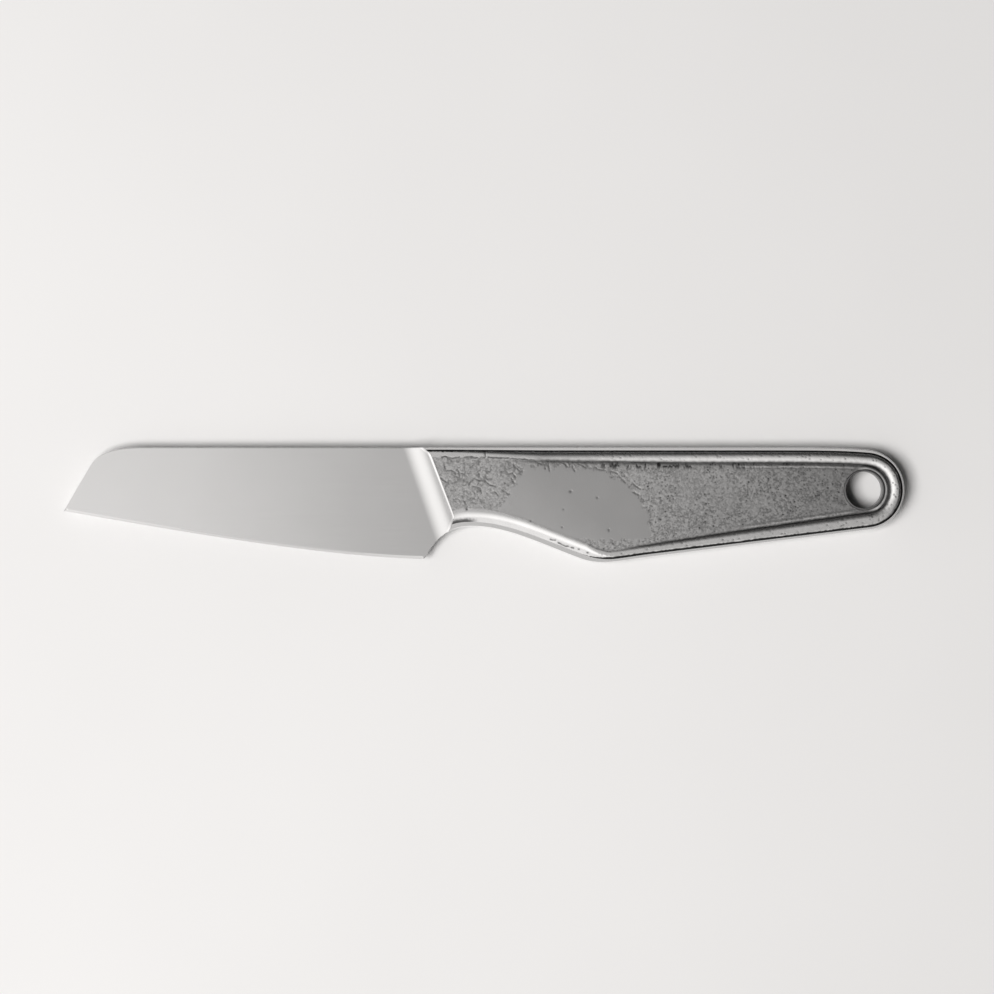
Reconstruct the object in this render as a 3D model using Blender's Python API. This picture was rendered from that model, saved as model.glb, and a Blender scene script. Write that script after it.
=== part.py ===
"""A fruit knife lying on its side, spine towards +Y and tip towards -X.

The blade is one forging: the ground blade, the bolster and a full tang. Two forged scales lie on the
tang, held by hidden dowels and by the tube that lines the hanging hole. Sizes are in metres.
"""

import math

import bmesh
import bpy
from mathutils import Vector

MM = 0.001

# The blade's outline. Drops are measured down from the spine, and a reach is the length of a curve's handle.
EDGE_LENGTH = 98.7 * MM
TIP_DROP = 17.4 * MM
TIP_ANGLE = math.radians(60.0)
TIP_CURVE_DROP = 5.36 * MM
TIP_CURVE_LENGTH = 14.05 * MM
TIP_CURVE_REACH = 3.8 * MM
SPINE_CURVE_REACH = 8.2 * MM
HEEL_DROP = 30.5 * MM
EDGE_TIP_ANGLE = math.radians(9.9)
EDGE_TIP_REACH = 30.5 * MM
EDGE_HEEL_ANGLE = math.radians(1.1)
EDGE_HEEL_REACH = 28.0 * MM

# The handle's outline, station by station: heel, finger groove, slope, belly, lower edge and round butt
CHOIL_LENGTH = 12.8 * MM
CHOIL_ANGLE = math.radians(60.0)
CHOIL_REACH = 5.2 * MM
GROOVE_DROP = 21.65 * MM
GROOVE_FRONT_REACH = 7.0 * MM
GROOVE_BACK_REACH = 9.5 * MM
GROOVE_LENGTH = 29.8 * MM
SLOPE_DROP = 30.5 * MM
SLOPE_ANGLE = math.radians(20.5)
SLOPE_REACH = 12.8 * MM
BELLY_LENGTH = 18.7 * MM
BELLY_DROP = 30.1 * MM
BELLY_FRONT_REACH = 6.0 * MM
BELLY_BACK_REACH = 8.1 * MM
LOWER_EDGE_LENGTH = 58.93 * MM
BUTT_RADIUS = 11.07 * MM
BUTT_TOP_DROP = 0.57 * MM
BUTT_START_ANGLE = math.radians(85.0)
SPINE_BEND_LENGTH = 28.93 * MM
SPINE_BEND_REACH = 15.0 * MM

# The blade's flanks are flat from the spine down to a narrow edge bevel, and sweep up to the bolster.
HANDLE_THICKNESS = 8.0 * MM
TANG_THICKNESS = 3.0 * MM
SPINE_THICKNESS_AT_TIP = 1.69 * MM
SPINE_THICKNESS_AT_HEEL = 2.67 * MM
EDGE_THICKNESS = 0.4 * MM
KEEN_THICKNESS = 0.04 * MM
EDGE_BEVEL_WIDTH = 0.75 * MM
WHEEL_RADIUS = 8.9 * MM
BOLSTER_SETBACK = 0.75 * MM
BOLSTER_SLANT = math.radians(20.9)
BOLSTER_LAND = 0.4 * MM
BOLSTER_SPAN = 10.0 * MM

# The rounded rim of the handle. It stands in from the tang, whose edge stays bare all round.
RIM_INSET = 0.75 * MM
SHOULDER_ROUND = 0.6 * MM
SHOULDER_LENGTH = 6.5 * MM
BEAD_GROWTH_LENGTH = 26.0 * MM
BEAD_WIDTH = 1.9 * MM
BEAD_WALL = 0.5 * MM
GROOVE_ROUND_WIDTH = 3.65 * MM
GROOVE_WALL = 0.2 * MM

# The sunk panel of each scale. Its floor ramps down from a slanting line behind the finger groove.
PANEL_DEPTH = 1.3 * MM
PANEL_DRAFT = 1.5 * MM
RIM_WIDTH = 4.4 * MM
RIM_WIDTH_AT_BELLY = 3.4 * MM
RIM_WIDTH_BELOW_BUTT = 4.9 * MM
RAMP_SETBACK = 7.9 * MM
RAMP_DROP = 2.65 * MM
RAMP_TURN = math.radians(41.8)
RAMP_SLOPE = math.radians(2.2)

# What holds the scales. The dowels' places are measured back from the finger groove and down from the spine.
JOINT_GAP = 0.1 * MM
HOLE_RADIUS = 5.0 * MM
TUBE_WALL = 0.5 * MM
TUBE_LIP = 0.15 * MM
DOWEL_RADIUS = 2.0 * MM
DOWEL_DEPTH = 1.4 * MM
DOWEL_PLACES = {
    "front_dowel": (2.0 * MM, 9.0 * MM),
    "spine_dowel": (26.5 * MM, 8.5 * MM),
    "belly_dowel": (32.5 * MM, 23.0 * MM),
}

# How finely curves are cut, and how far cutters reach past what they cut
BEND_STEPS = 5
TIP_STEPS = 8
BUTT_STEPS = 24
BELLY_STEPS = 8
GROOVE_STEPS = 12
CHOIL_STEPS = 9
EDGE_STEPS = 20
BEAD_STEPS = 5
WHEEL_STEPS = 10
ROUND_STEPS = 48
DOWEL_STEPS = 24
CUT_MARGIN = 1.0 * MM
FRONT_MARGIN = 40.0 * MM
WHEEL_REACH = 46.0 * MM

HANDLE_HALF = HANDLE_THICKNESS / 2
TANG_HALF = TANG_THICKNESS / 2
SCALE_BASE = TANG_HALF + JOINT_GAP
PANEL_FLOOR = HANDLE_HALF - PANEL_DEPTH
BEAD_HEIGHT = HANDLE_HALF - SCALE_BASE - BEAD_WALL
GROOVE_ROUND_HEIGHT = HANDLE_HALF - SCALE_BASE - GROOVE_WALL
TUBE_RADIUS = HOLE_RADIUS + TUBE_WALL
TUBE_SOCKET_RADIUS = TUBE_RADIUS + JOINT_GAP
TIP = Vector((0.0, -TIP_DROP))
HEEL = Vector((EDGE_LENGTH, -HEEL_DROP))
GROOVE = Vector((EDGE_LENGTH + CHOIL_LENGTH, -GROOVE_DROP))
SLOPE_END = Vector((GROOVE.x + GROOVE_LENGTH, -SLOPE_DROP))
BELLY_END = Vector((SLOPE_END.x + BELLY_LENGTH, -BELLY_DROP))
BUTT_CENTRE = Vector((BELLY_END.x + LOWER_EDGE_LENGTH, -BUTT_TOP_DROP - BUTT_RADIUS))
OVERALL_LENGTH = BUTT_CENTRE.x + BUTT_RADIUS
BOLSTER_X = EDGE_LENGTH + BOLSTER_SETBACK
FAR = 2 * OVERALL_LENGTH

# Rim sizes at a point of the handle: width and height of its rounding, and width up to the panel's floor
SHOULDER_RIM = (SHOULDER_ROUND, SHOULDER_ROUND, RIM_WIDTH)
SPINE_RIM = (BEAD_WIDTH, BEAD_HEIGHT, RIM_WIDTH)
BELLY_RIM = (BEAD_WIDTH, BEAD_HEIGHT, RIM_WIDTH_AT_BELLY)
LOWER_RIM = (BEAD_WIDTH, BEAD_HEIGHT, RIM_WIDTH_BELOW_BUTT)
GROOVE_RIM = (GROOVE_ROUND_WIDTH, GROOVE_ROUND_HEIGHT, RIM_WIDTH)


def direction(angle):
    return Vector((math.cos(angle), math.sin(angle)))


def mix(start, end, share):
    return start + (end - start) * share


def bezier(start, start_handle, end_handle, end, steps):
    """Points of a cubic curve, without its last point."""
    points = []
    for step in range(steps):
        t = step / steps
        u = 1.0 - t
        points.append(
            u**3 * start + 3 * u * u * t * start_handle + 3 * u * t * t * end_handle + t**3 * end
        )
    return points


def with_rim(points, start_rim, end_rim):
    """Pairs of a point and its rim sizes, which change evenly along the points."""
    last = max(1, len(points) - 1)
    return [
        (point, tuple(mix(a, b, index / last) for a, b in zip(start_rim, end_rim)))
        for index, point in enumerate(points)
    ]


def lower_edge_angle():
    """The rise of the straight lower edge, from the belly to where it touches the butt's arc."""
    across = BUTT_CENTRE - BELLY_END
    return math.atan2(across.y, across.x) - math.asin(BUTT_RADIUS / across.length)


def tip_run():
    rise = TIP_DROP - TIP_CURVE_DROP
    curve_start = TIP + Vector((rise / math.tan(TIP_ANGLE), rise))
    curve_end = Vector((curve_start.x + TIP_CURVE_LENGTH, 0.0))
    curve = bezier(
        curve_start,
        curve_start + TIP_CURVE_REACH * direction(TIP_ANGLE),
        curve_end - Vector((SPINE_CURVE_REACH, 0.0)),
        curve_end,
        TIP_STEPS,
    )
    return [TIP] + curve + [curve_end]


def spine_run():
    """Along the spine of the handle, where the small shoulder rounding grows to the full bead."""
    start = BOLSTER_X + SHOULDER_LENGTH
    points = [
        Vector((start + BEAD_GROWTH_LENGTH * step / BEND_STEPS, 0.0)) for step in range(BEND_STEPS + 1)
    ]
    return with_rim(points, SHOULDER_RIM, SPINE_RIM)


def butt_run():
    """The end of the spine, which bends down a little, and the round butt."""
    arc_start = BUTT_CENTRE + BUTT_RADIUS * direction(BUTT_START_ANGLE)
    arc_heading = direction(BUTT_START_ANGLE - math.pi / 2)
    bend_start = Vector((BUTT_CENTRE.x - SPINE_BEND_LENGTH, 0.0))
    bend = bezier(
        bend_start,
        bend_start + Vector((SPINE_BEND_REACH, 0.0)),
        arc_start - arc_heading * (arc_start.y / arc_heading.y),
        arc_start,
        BEND_STEPS,
    )
    arc_end_angle = lower_edge_angle() - math.pi / 2
    arc = [
        BUTT_CENTRE + BUTT_RADIUS * direction(mix(BUTT_START_ANGLE, arc_end_angle, step / BUTT_STEPS))
        for step in range(BUTT_STEPS + 1)
    ]
    half = BUTT_STEPS // 2
    return with_rim(bend + arc[:half], SPINE_RIM, SPINE_RIM) + with_rim(arc[half:], SPINE_RIM, LOWER_RIM)


def belly_run():
    points = bezier(
        BELLY_END,
        BELLY_END - BELLY_BACK_REACH * direction(lower_edge_angle()),
        SLOPE_END + BELLY_FRONT_REACH * direction(-SLOPE_ANGLE),
        SLOPE_END,
        BELLY_STEPS,
    )
    return with_rim(points, BELLY_RIM, BELLY_RIM)


def groove_run():
    """From the belly, over the finger groove, to just above the heel."""
    slope = bezier(
        SLOPE_END,
        SLOPE_END - SLOPE_REACH * direction(-SLOPE_ANGLE),
        GROOVE + Vector((GROOVE_BACK_REACH, 0.0)),
        GROOVE,
        GROOVE_STEPS,
    )
    choil = bezier(
        GROOVE,
        GROOVE - Vector((GROOVE_FRONT_REACH, 0.0)),
        HEEL + CHOIL_REACH * direction(CHOIL_ANGLE),
        HEEL,
        CHOIL_STEPS,
    )
    return with_rim(slope, BELLY_RIM, GROOVE_RIM) + with_rim(choil, GROOVE_RIM, GROOVE_RIM)


def edge_run():
    """The cutting edge, from the heel to the tip, both included."""
    curve = bezier(
        HEEL,
        HEEL - EDGE_HEEL_REACH * direction(-EDGE_HEEL_ANGLE),
        TIP + EDGE_TIP_REACH * direction(-EDGE_TIP_ANGLE),
        TIP,
        EDGE_STEPS,
    )
    return curve + [TIP]


def knife_outline():
    """The whole knife, clockwise from the tip."""
    handle = [point for point, _ in butt_run() + belly_run() + groove_run()]
    return tip_run() + handle + edge_run()[:-1]


def handle_outline():
    """The handle with its rim. In front of the bolster it runs on in straight lines, to be cut off."""
    front = EDGE_LENGTH - FRONT_MARGIN
    below = HEEL - FRONT_MARGIN / 2 * direction(CHOIL_ANGLE)
    front_points = [HEEL, below, Vector((front, below.y))]
    return (
        [(Vector((front, 0.0)), SHOULDER_RIM)]
        + spine_run()
        + butt_run()
        + belly_run()
        + groove_run()
        + with_rim(front_points, GROOVE_RIM, GROOVE_RIM)
    )


def inset(points, distances):
    """A clockwise outline moved inwards, by its own distance at each point."""
    moved = []
    for index, (point, distance) in enumerate(zip(points, distances)):
        before = (point - points[index - 1]).normalized()
        after = (points[(index + 1) % len(points)] - point).normalized()
        inward = Vector((before.y + after.y, -before.x - after.x))
        moved.append(point + inward * (2 * distance / inward.length_squared))
    return moved


def flank_height(point):
    """Half the blade's thickness on its flat flank, which is one plane through the spine and the edge."""
    at_spine = mix(SPINE_THICKNESS_AT_TIP, SPINE_THICKNESS_AT_HEEL, point.x / EDGE_LENGTH) / 2
    fall = (SPINE_THICKNESS_AT_HEEL - EDGE_THICKNESS) / 2 / HEEL_DROP
    return at_spine + fall * point.y


def bolster_point(along, back):
    """A point measured down along the bolster's slanting front line, and back from it."""
    down = direction(BOLSTER_SLANT - math.pi / 2)
    return Vector((BOLSTER_X, 0.0)) + along * down + back * direction(BOLSTER_SLANT)


def at_height(points, height):
    return [Vector((point.x, point.y, height)) for point in points]


def at_heights(points, heights, side):
    return [Vector((point.x, point.y, side * height)) for point, height in zip(points, heights)]


def finished(name, shape):
    bmesh.ops.recalc_face_normals(shape, faces=shape.faces[:])
    mesh = bpy.data.meshes.new(name)
    shape.to_mesh(mesh)
    shape.free()
    return mesh


def loft(name, rings):
    """A closed body through unlike rings of the same number of points."""
    shape = bmesh.new()
    made = [[shape.verts.new(point) for point in ring] for ring in rings]
    for lower, upper in zip(made, made[1:]):
        for index in range(len(lower)):
            shape.faces.new((lower[index - 1], lower[index], upper[index], upper[index - 1]))
    shape.faces.new(made[0])
    shape.faces.new(made[-1])
    return finished(name, shape)


def plate(name, outline, half_thickness):
    """A flat outline as a filled and extruded 2D curve, made a mesh so that it can be cut."""
    curve = bpy.data.curves.new(f"{name}_outline", "CURVE")
    curve.dimensions = "2D"
    curve.fill_mode = "BOTH"
    curve.extrude = half_thickness
    spline = curve.splines.new("POLY")
    spline.points.add(len(outline) - 1)
    for spline_point, point in zip(spline.points, outline):
        spline_point.co = (point.x, point.y, 0.0, 1.0)
    spline.use_cyclic_u = True
    holder = bpy.data.objects.new(f"{name}_outline", curve)
    bpy.context.scene.collection.objects.link(holder)
    graph = bpy.context.evaluated_depsgraph_get()
    loose = bpy.data.meshes.new_from_object(holder.evaluated_get(graph))
    shape = bmesh.new()
    shape.from_mesh(loose)
    bmesh.ops.remove_doubles(shape, verts=shape.verts[:], dist=JOINT_GAP / 100)
    bpy.data.objects.remove(holder, do_unlink=True)
    bpy.data.meshes.remove(loose)
    return finished(name, shape)


def cylinder(name, radius, half_length, steps):
    shape = bmesh.new()
    bmesh.ops.create_cone(
        shape, cap_ends=True, segments=steps, radius1=radius, radius2=radius, depth=2 * half_length
    )
    mesh = finished(name, shape)
    mesh.shade_smooth()
    mesh.set_sharp_from_angle(angle=math.radians(40.0))
    return mesh


def block(name, size, centre):
    """A cube stretched to a size, with its centre placed from the object's own origin."""
    shape = bmesh.new()
    bmesh.ops.create_cube(shape, size=1.0)
    bmesh.ops.scale(shape, vec=size, verts=shape.verts[:])
    bmesh.ops.translate(shape, vec=centre, verts=shape.verts[:])
    return finished(name, shape)


def rim_rings(side):
    """The handle's outline from the foot of its rounded rim up to the face."""
    outline = handle_outline()
    points = [point for point, _ in outline]
    rings = []
    for step in range(BEAD_STEPS + 1):
        turn = math.pi / 2 * step / BEAD_STEPS
        insets = [RIM_INSET + width * (1 - math.cos(turn)) for _, (width, _, _) in outline]
        heights = [HANDLE_HALF - height * (1 - math.sin(turn)) for _, (_, height, _) in outline]
        rings.append(at_heights(inset(points, insets), heights, side))
    return rings


def bolster_block():
    """The handle's full thickness with both rims, to be trimmed to the bolster."""
    return loft("bolster_block", rim_rings(-1.0)[::-1] + rim_rings(1.0))


def scale_blank(name, side):
    rings = rim_rings(side)
    return loft(name, [at_height(rings[0], side * SCALE_BASE)] + rings)


def grinding_wheel(name, side):
    """What grinding takes off a flank: the flat flank, then the wheel's arc up to the bolster's front."""
    rings = []
    for along in (-WHEEL_REACH, 0.0, GROOVE_DROP / 2, GROOVE_DROP, WHEEL_REACH):
        line_point = bolster_point(along, 0.0)
        start = flank_height(line_point)
        slope = flank_height(line_point + direction(BOLSTER_SLANT)) - start
        stretch = 1 + slope * slope
        lift = start + WHEEL_RADIUS * math.sqrt(stretch) - HANDLE_HALF
        free = (lift * slope) ** 2 - stretch * (lift * lift - WHEEL_RADIUS**2)
        run = (lift * slope + math.sqrt(free)) / stretch
        centre = Vector((-run, HANDLE_HALF + lift - slope * run))
        first = math.atan(slope) - math.pi / 2
        last = math.atan2(HANDLE_HALF - centre.y, -centre.x)
        arc = [
            centre + WHEEL_RADIUS * direction(mix(first, last, step / WHEEL_STEPS))
            for step in range(WHEEL_STEPS + 1)
        ]
        leaving = direction(last + math.pi / 2)
        above = arc[-1] + leaving * (HANDLE_HALF / leaving.y)
        section = [Vector((-FAR, start - slope * FAR)), *arc, above, Vector((-FAR, above.y))]
        places = [bolster_point(along, back) for back, _ in section]
        rings.append(at_heights(places, [height for _, height in section], side))
    return loft(name, rings)


def edge_stone(name, side):
    """What the stone takes off along the cutting edge, which leaves its narrow bevel."""
    points = edge_run()
    points.insert(0, points[0] + (points[0] - points[1]).normalized() * EDGE_BEVEL_WIDTH)
    points.append(points[-1] + (points[-1] - points[-2]).normalized() * EDGE_BEVEL_WIDTH)
    rings = []
    for index, point in enumerate(points):
        after = points[min(len(points) - 1, index + 1)]
        along = (after - points[max(0, index - 1)]).normalized()
        inward = Vector((along.y, -along.x))
        shoulder = flank_height(point + inward * EDGE_BEVEL_WIDTH)
        rise = (shoulder - KEEN_THICKNESS / 2) / EDGE_BEVEL_WIDTH
        outer = point - inward * CUT_MARGIN
        inner = point + inward * (EDGE_BEVEL_WIDTH + CUT_MARGIN)
        low = KEEN_THICKNESS / 2 - rise * CUT_MARGIN
        high = shoulder + rise * CUT_MARGIN
        heights = [low, high, HANDLE_HALF, HANDLE_HALF]
        rings.append(at_heights([outer, inner, inner, outer], heights, side))
    return loft(name, rings)


def panel_core(name, side):
    """The drafted form that sinks a scale's panel, before its floor is ramped."""
    outline = handle_outline()
    points = [point for point, _ in outline]
    floor = inset(points, [rim_width for _, (_, _, rim_width) in outline])
    # As far again above the handle's face as the panel lies below it
    mouth = inset(points, [rim_width - 2 * PANEL_DRAFT for _, (_, _, rim_width) in outline])
    top = side * (HANDLE_HALF + PANEL_DEPTH)
    return loft(name, [at_height(floor, side * PANEL_FLOOR), at_height(mouth, top)])


def new_object(mesh, parent, collection):
    obj = bpy.data.objects.new(mesh.name, mesh)
    collection.objects.link(obj)
    obj.parent = parent
    return obj


def add_boolean(obj, operation, other):
    modifier = obj.modifiers.new(f"{operation.lower()} {other.name}", "BOOLEAN")
    modifier.operation = operation
    modifier.solver = "EXACT"
    modifier.object = other


def metal(name, grey, roughness):
    material = bpy.data.materials.new(name)
    material.use_nodes = True
    shader = material.node_tree.nodes["Principled BSDF"]
    shader.inputs["Base Color"].default_value = (grey, grey, grey, 1.0)
    shader.inputs["Metallic"].default_value = 1.0
    shader.inputs["Roughness"].default_value = roughness
    return material


def make_blade(piece, cutter):
    blade = piece(plate("blade", knife_outline(), TANG_HALF), 0.62, 0.28)
    bolster = cutter(bolster_block())
    span = BOLSTER_SPAN + BOLSTER_LAND
    span_size = (span, FAR, 2 * HANDLE_THICKNESS)
    bolster_span = cutter(block("bolster_span", span_size, (BOLSTER_LAND - span / 2, 0, 0)))
    bolster_span.location.x = BOLSTER_X
    bolster_span.rotation_euler.z = BOLSTER_SLANT
    add_boolean(bolster, "INTERSECT", bolster_span)
    add_boolean(blade, "UNION", bolster)
    for word, side in (("left", 1.0), ("right", -1.0)):
        add_boolean(blade, "DIFFERENCE", cutter(grinding_wheel(f"{word}_grinding_wheel", side)))
        add_boolean(blade, "DIFFERENCE", cutter(edge_stone(f"{word}_edge_stone", side)))
    return blade


def make_scale(word, side, piece, cutter):
    """One scale, with its front cut along the bolster and its panel sunk."""
    scale = piece(scale_blank(f"{word}_scale", side), 0.32, 0.5)
    before = BOLSTER_LAND + JOINT_GAP - FAR / 2
    front = cutter(block(f"{word}_scale_front", (FAR, FAR, 2 * HANDLE_THICKNESS), (before, 0, 0)))
    front.location.x = BOLSTER_X
    front.rotation_euler.z = BOLSTER_SLANT
    ramp = cutter(block(f"{word}_ramp", (FAR, FAR, FAR), (0, 0, -side * FAR / 2)))
    ramp.location = (GROOVE.x + RAMP_SETBACK, -RAMP_DROP, side * HANDLE_HALF)
    ramp.rotation_euler = (-side * RAMP_SLOPE, 0, -RAMP_TURN)
    panel = cutter(panel_core(f"{word}_panel", side))
    add_boolean(panel, "DIFFERENCE", ramp)
    add_boolean(scale, "DIFFERENCE", front)
    add_boolean(scale, "DIFFERENCE", panel)
    return scale


def make_tube(layers, piece, cutter):
    """The liner of the hanging hole, round the same centre as the butt."""
    half_length = PANEL_FLOOR + TUBE_LIP
    tube = piece(cylinder("hanging_hole_tube", TUBE_RADIUS, half_length, ROUND_STEPS), 0.6, 0.3)
    bore = cutter(cylinder("bore", HOLE_RADIUS, HANDLE_THICKNESS, ROUND_STEPS))
    socket = cutter(cylinder("tube_socket", TUBE_SOCKET_RADIUS, HANDLE_THICKNESS, ROUND_STEPS))
    for obj in (tube, bore, socket):
        obj.location = (BUTT_CENTRE.x, BUTT_CENTRE.y, 0)
    add_boolean(tube, "DIFFERENCE", bore)
    for layer in layers:
        add_boolean(layer, "DIFFERENCE", socket)


def make_dowels(layers, piece, cutter):
    """The hidden dowels, which pass through the tang and end inside each scale."""
    socket_end = SCALE_BASE + DOWEL_DEPTH
    for name, (setback, drop) in DOWEL_PLACES.items():
        dowel = piece(cylinder(name, DOWEL_RADIUS, socket_end - JOINT_GAP, DOWEL_STEPS), 0.55, 0.35)
        socket = cutter(cylinder(f"{name}_socket", DOWEL_RADIUS + JOINT_GAP, socket_end, DOWEL_STEPS))
        for obj in (dowel, socket):
            obj.location = (GROOVE.x + setback, -drop, 0)
        for layer in layers:
            add_boolean(layer, "DIFFERENCE", socket)


def main():
    for obj in list(bpy.data.objects):
        bpy.data.objects.remove(obj, do_unlink=True)
    knife = bpy.data.collections.new("fruit_knife")
    cutters = bpy.data.collections.new("fruit_knife_cutters")
    bpy.context.scene.collection.children.link(knife)
    bpy.context.scene.collection.children.link(cutters)

    # The origin is under the middle of the knife, which lies on its right face.
    drops = [point.y for point in knife_outline()]
    frame = bpy.data.objects.new("fruit_knife_frame", None)
    knife.objects.link(frame)
    frame.location = (-OVERALL_LENGTH / 2, -(min(drops) + max(drops)) / 2, HANDLE_HALF)

    def piece(mesh, grey, roughness):
        mesh.materials.append(metal(mesh.name, grey, roughness))
        return new_object(mesh, frame, knife)

    def cutter(mesh):
        obj = new_object(mesh, frame, cutters)
        obj.hide_render = True
        obj.display_type = "WIRE"
        return obj

    layers = [make_blade(piece, cutter)]
    for word, side in (("left", 1.0), ("right", -1.0)):
        layers.append(make_scale(word, side, piece, cutter))
    make_tube(layers, piece, cutter)
    make_dowels(layers, piece, cutter)


main()
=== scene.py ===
"""The looks of a fruit knife that lies on a pale floor, seen from straight above.

Shapes are worked out in millimetres on the knife's own plane: X runs back from the tip, Y is 0 along the
spine and negative below it, and Z is 0 in the middle of the tang. to_row() places them on the CAD frame.
"""

import math

import bpy
import numpy as np
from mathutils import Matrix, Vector, kdtree, noise
from mathutils.geometry import delaunay_2d_cdt

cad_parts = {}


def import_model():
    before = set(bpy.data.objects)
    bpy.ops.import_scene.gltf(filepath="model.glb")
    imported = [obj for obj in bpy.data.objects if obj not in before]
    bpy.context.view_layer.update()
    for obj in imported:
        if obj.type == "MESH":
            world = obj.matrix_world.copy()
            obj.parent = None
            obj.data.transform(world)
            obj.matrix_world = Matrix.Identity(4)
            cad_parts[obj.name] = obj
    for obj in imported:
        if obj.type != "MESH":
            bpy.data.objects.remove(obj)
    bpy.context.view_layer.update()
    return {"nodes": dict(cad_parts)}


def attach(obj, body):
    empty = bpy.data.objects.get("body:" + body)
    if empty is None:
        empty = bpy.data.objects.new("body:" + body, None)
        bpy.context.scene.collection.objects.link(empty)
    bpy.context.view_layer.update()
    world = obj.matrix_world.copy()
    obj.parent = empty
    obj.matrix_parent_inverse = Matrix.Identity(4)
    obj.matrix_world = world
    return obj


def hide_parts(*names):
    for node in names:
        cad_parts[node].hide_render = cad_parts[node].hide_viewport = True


# The outline, with the same sizes as the CAD part
EDGE_LENGTH = 98.7
TIP_DROP = 17.4
TIP_ANGLE = math.radians(60.0)
TIP_CURVE_DROP = 5.36
TIP_CURVE_LENGTH = 14.05
TIP_CURVE_REACH = 3.8
SPINE_CURVE_REACH = 8.2
HEEL_DROP = 30.5
EDGE_TIP_ANGLE = math.radians(9.9)
EDGE_TIP_REACH = 30.5
EDGE_HEEL_ANGLE = math.radians(1.1)
EDGE_HEEL_REACH = 28.0
CHOIL_LENGTH = 12.8
CHOIL_ANGLE = math.radians(60.0)
CHOIL_REACH = 5.2
GROOVE_DROP = 21.65
GROOVE_FRONT_REACH = 7.0
GROOVE_BACK_REACH = 9.5
GROOVE_LENGTH = 29.8
SLOPE_DROP = 30.5
SLOPE_ANGLE = math.radians(20.5)
SLOPE_REACH = 12.8
BELLY_LENGTH = 18.7
BELLY_DROP = 30.1
BELLY_FRONT_REACH = 6.0
BELLY_BACK_REACH = 8.1
LOWER_EDGE_LENGTH = 58.93
BUTT_RADIUS = 11.07
BUTT_TOP_DROP = 0.57
BUTT_START_ANGLE = math.radians(85.0)
SPINE_BEND_LENGTH = 28.93
SPINE_BEND_REACH = 15.0

# Thicknesses, grinds and rims, with the same sizes as the CAD part
HANDLE_HALF = 4.0
TANG_HALF = 1.5
SPINE_THICKNESS_AT_TIP = 1.69
SPINE_THICKNESS_AT_HEEL = 2.67
EDGE_THICKNESS = 0.4
KEEN_THICKNESS = 0.04
EDGE_BEVEL_WIDTH = 0.75
WHEEL_RADIUS = 8.9
BOLSTER_SETBACK = 0.75
BOLSTER_SLANT = math.radians(20.9)
BOLSTER_LAND = 0.4
SHOULDER_LENGTH = 6.5
BEAD_GROWTH_LENGTH = 26.0
PANEL_DEPTH = 1.3
RAMP_SETBACK = 7.9
RAMP_DROP = 2.65
RAMP_TURN = math.radians(41.8)
RAMP_SLOPE = math.radians(2.2)
JOINT_GAP = 0.1
HOLE_RADIUS = 5.0
TUBE_WALL = 0.5
TUBE_LIP = 0.15

# Finish sizes that only the looks need
EDGE_EASE = 0.25
STEP_WIDTH = 0.02
CREST_BLEND = 0.42
STRIP_START = -2.2
SEAM_CORNERS = ((100.0, -1.4, math.radians(50.0)), (106.7, -19.8, math.radians(-19.7)))
CORNER_BLEND = 0.6
TOE_BLEND = 0.15
TOE_PAST_DROP = 0.15
RAMP_BLEND = 0.2
INNER_ROUND_SHARE = 0.98
TOE_WALL_SLOPE = 3.0
SCALE_STEEPEST = 0.8
BOLSTER_STEEPEST = 20.0
LEAST_RIM = 0.03
SEAM_SHOWN = 0.03
LIP_CREST_RADIUS = 6.2
LIP_FOOT_RADIUS = 6.7
LIP_RISE = 0.35
LIP_MIDDLE = math.radians(15.0)
TUBE_ROUND = 0.12
CRACK_HALF_WIDTH = 0.21
TOE_CRACK_HALF_WIDTH = 0.24
CRACK_DEPTH = 0.06
MARK_DEPTH = 0.04
MARK_LIP_HEIGHT = 0.008
NICK_DEPTH = 0.07
SKIN_DROP = 0.02
RIDGE_HEIGHT = 0.08
RIDGE_HALF_WIDTH = 0.26
RIDGE_PAST_TOE = 0.8
TROUGH_HALF_WIDTH = 0.2
TROUGH_PAST_RIDGE = 0.55
TOE_FULL_LENGTH = 38.0

# How finely the meshes are divided, and the angles past which their edges show as sharp
BUTT_POINTS = 130
HOLE_POINTS = 120
TUBE_POINTS = 96
HOLE_RINGS = (5.68, 5.8, 5.95, 6.1, 6.3, 6.5, LIP_FOOT_RADIUS)
BLADE_SHARP = math.radians(11.0)
SCALE_SHARP = math.radians(55.0)
TUBE_SHARP = math.radians(35.0)

# Where the forged skin, its soot and its painted shade change, each from one X, Y or radius to another
PEBBLES_FROM_X = (140.0, 152.0)
DRIPS_FROM_X = (126.0, 130.0)
DRIPS_ABOVE_Y = (-7.0, -5.0)
RIDGE_FROM_X = (178.0, 192.0)
NICKS_FROM_X = (138.0, 155.0)
EVEN_FOOT_FROM_X = (112.0, 118.0)
# Painted shade by the choil, below CHOIL_TOP, fades out between these two X
CHOIL_SHADE_TO_X = (110.5, 114.0)
CHOIL_TOP = -15.0
SHADE_ABOVE_Y = (-12.0, -8.0)
HOLE_SOOT_AND_SHADE_TO_RADIUS = (5.66, 5.9)

# The skin's patterns: a feature's spacing, its half width or radius, the pattern's number and its share
COARSE_STROKES = (2.0, 0.17, 6, 0.42)
FINE_STROKES = (0.9, 0.14, 7, 0.5)
SMALL_STROKES = (0.55, 0.13, 9, 0.6)
DRIPS = (0.8, 0.16, 10, 0.5)
DRIP_STRETCH = (1.0, 0.3)
DOTS = (1.2, 0.24, 8, 0.4)
SMALL_DOTS = (0.8, 0.2, 19, 0.55)
NICKS = (0.95, 0.25, 15, 0.4)

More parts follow.
